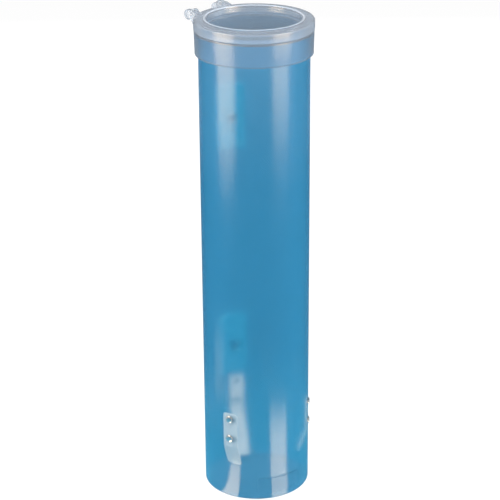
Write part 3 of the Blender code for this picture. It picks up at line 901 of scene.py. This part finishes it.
def softbox(name, azimuth, distance, height, size, power):
    """A square lamp that looks at the middle of the tube and isn't seen itself."""
    data = bpy.data.lights.new(name, "AREA")
    data.shape = "RECTANGLE"
    data.size = data.size_y = size
    data.energy = power
    lamp = bpy.data.objects.new(name, data)
    bpy.context.scene.collection.objects.link(lamp)
    lamp.location = photo_point(azimuth, distance, height)
    target = Vector((0, AXIS_Y, LOOK_HEIGHT))
    lamp.rotation_euler = (target - lamp.location).to_track_quat("-Z", "Y").to_euler()
    lamp.visible_camera = False
    lamp.visible_glossy = False
    lamp.visible_transmission = False


softbox("front", -95, 1.4, 0.3, 0.9, 5)
softbox("key", -160, 1.3, 0.3, 0.9, 29)
softbox("side", -22, 1.5, 0.3, 0.9, 38)
softbox("back", 90, 1.4, 0.6, 0.9, 10)
softbox("top", -90, 0.7, 2.6, 1.4, 64)

# Sheets of light, for the bands on the plastic
GLOW_TINT = (1.0, 0.77, 0.53)
GLOW_CUTS = 15
ABOVE_FLOOR = 0.4 * MM


def glow_surface(name, strength, soft):
    """Light that only the outermost gloss shows, faded over shares of its left, right, near and far side."""
    made, tree, shader, out = nodes_of(name)
    tree.nodes.remove(shader)
    uv = tree.nodes.new("ShaderNodeUVMap")
    uv.uv_map = "uv"
    parts = tree.nodes.new("ShaderNodeSeparateXYZ")
    tree.links.new(uv.outputs["UV"], parts.inputs[0])
    path = tree.nodes.new("ShaderNodeLightPath")
    share = math_node(tree, "LESS_THAN", path.outputs["Transmission Depth"], 0.5)
    left, right, near, far = soft
    for side, start, end in (("X", 0, left), ("X", 1, 1 - right), ("Y", 0, near), ("Y", 1, 1 - far)):
        if start != end:
            share = math_node(tree, "MULTIPLY", share, smooth_step(tree, parts.outputs[side], start, end))
    lit = tree.nodes.new("ShaderNodeEmission")
    lit.inputs["Color"].default_value = (*GLOW_TINT, 1)
    lit.inputs["Strength"].default_value = strength
    clear = tree.nodes.new("ShaderNodeBsdfTransparent")
    tree.links.new(shader_mix(tree, share, clear.outputs[0], lit.outputs[0]), out.inputs["Surface"])
    return made


def glow(name, corners, strength, *soft):
    """A sheet of light between four corners: left and right near, right and left far."""
    bm = bmesh.new()
    layer = bm.loops.layers.uv.new("uv")
    face = bm.faces.new([bm.verts.new(corner) for corner in corners])
    for loop, uv in zip(face.loops, ((0, 0), (1, 0), (1, 1), (0, 1))):
        loop[layer].uv = uv
    bmesh.ops.subdivide_edges(bm, edges=bm.edges[:], cuts=GLOW_CUTS, use_grid_fill=True)
    mesh = bpy.data.meshes.new(name)
    bm.to_mesh(mesh)
    bm.free()
    made = bpy.data.objects.new(name, mesh)
    bpy.context.scene.collection.objects.link(made)
    made.visible_camera = made.visible_diffuse = made.visible_shadow = made.visible_transmission = False
    mesh.materials.append(glow_surface(name, strength, soft))


def upright(azimuth, half_width, distance, foot, top):
    low, high = azimuth - half_width, azimuth + half_width
    return [photo_point(low, distance, foot), photo_point(high, distance, foot),
            photo_point(high, distance, top), photo_point(low, distance, top)]


def on_floor(*corners):
    """Corners (radius in mm, azimuth) in the photograph's frame, just above the floor."""
    return [photo_point(azimuth, radius * MM, ABOVE_FLOOR) for radius, azimuth in corners]


glow("left_glow", upright(-148, 26, 0.5, 0.115, 0.5), 8.0, 0.3, 0.3, 0.37, 0)
glow("right_glow", upright(-37, 24, 0.75, 0.06, 0.6), 8.0, 0.3, 0.3, 0.42, 0)
glow("low_left_glow", on_floor((44, -136.4), (44, -111), (104, -119.4), (98, -139.9)), 8.5, 0.3, 0.05, 0, 0.2)
glow("low_right_glow", on_floor((44, -74), (44, -52), (230, -21), (230, -63.2)), 7.5, 0.05, 0.3, 0, 0.5)
glow("mid_left_glow", on_floor((180, 169), (190, -151.3), (380, -152.2), (380, 168.3)),
     1.2, 0.35, 0.35, 0.25, 0.2)

bpy.context.scene.view_settings.view_transform = "Standard"
